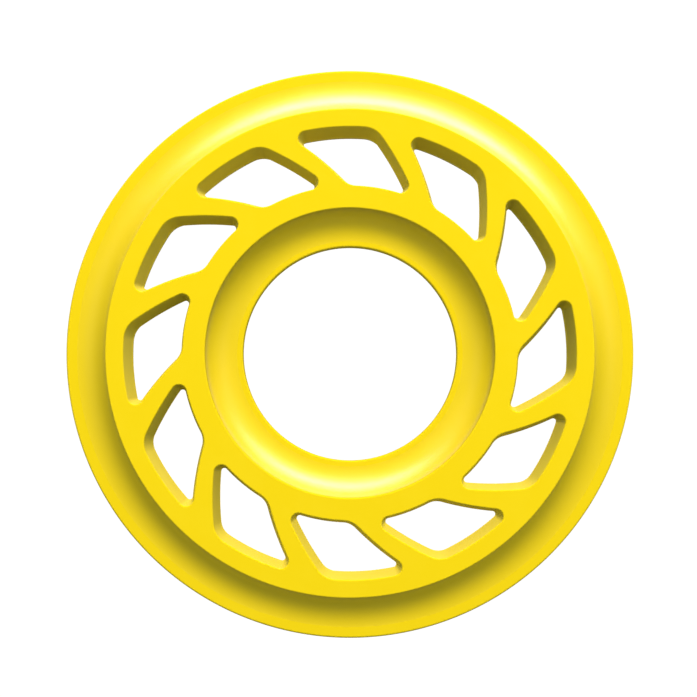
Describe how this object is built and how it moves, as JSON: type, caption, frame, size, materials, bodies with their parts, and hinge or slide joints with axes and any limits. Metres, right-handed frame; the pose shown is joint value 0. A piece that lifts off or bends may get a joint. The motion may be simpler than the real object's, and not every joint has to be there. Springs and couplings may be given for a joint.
{
  "type": "vibration damper wheel",
  "caption": "Spoked elastomer damper wheel: a thin seating flange, a thick web with swept windows that leave curved spokes, and a thin lip around an open bore.",
  "frame": {"origin": "centre of the bore at mid thickness, which is also the centre of the wheel's box", "axes": "+Z along the wheel's axis, square to its two flat faces, which are alike; +Y is up in the view from +Z"},
  "size_m": [0.042, 0.042, 0.008],
  "materials": {
    "yellow_rubber": "satin moulded elastomer, coloured right through"
  },
  "bodies": {
    "seat": {"outer_flange": "yellow_rubber"},
    "rim": {"rim_ring": "yellow_rubber", "spoke_01": "yellow_rubber", "spoke_02": "yellow_rubber", "spoke_03": "yellow_rubber", "spoke_04": "yellow_rubber", "spoke_05": "yellow_rubber", "spoke_06": "yellow_rubber", "spoke_07": "yellow_rubber", "spoke_08": "yellow_rubber", "spoke_09": "yellow_rubber", "spoke_10": "yellow_rubber", "spoke_11": "yellow_rubber", "spoke_12": "yellow_rubber"},
    "hub": {"hub_ring": "yellow_rubber"},
    "lip": {"bore_lip": "yellow_rubber"}
  },
  "joints": [
    {"name": "flange_flex", "type": "slide", "parent": "seat", "child": "rim", "axis": [0, 0, 1], "range_m": [-0.0008, 0.0008], "stiffness_N_per_m": 40000},
    {"name": "spoke_twist", "type": "hinge", "parent": "rim", "child": "hub", "pos_m": [0, 0, 0], "axis": [0, 0, 1], "range_deg": [-6, 6], "stiffness_Nm_per_rad": 8, "deforming": ["spoke_01", "spoke_02", "spoke_03", "spoke_04", "spoke_05", "spoke_06", "spoke_07", "spoke_08", "spoke_09", "spoke_10", "spoke_11", "spoke_12"]},
    {"name": "lip_flex", "type": "slide", "parent": "hub", "child": "lip", "axis": [0, 0, 1], "range_m": [-0.0008, 0.0008], "stiffness_N_per_m": 20000}
  ]
}
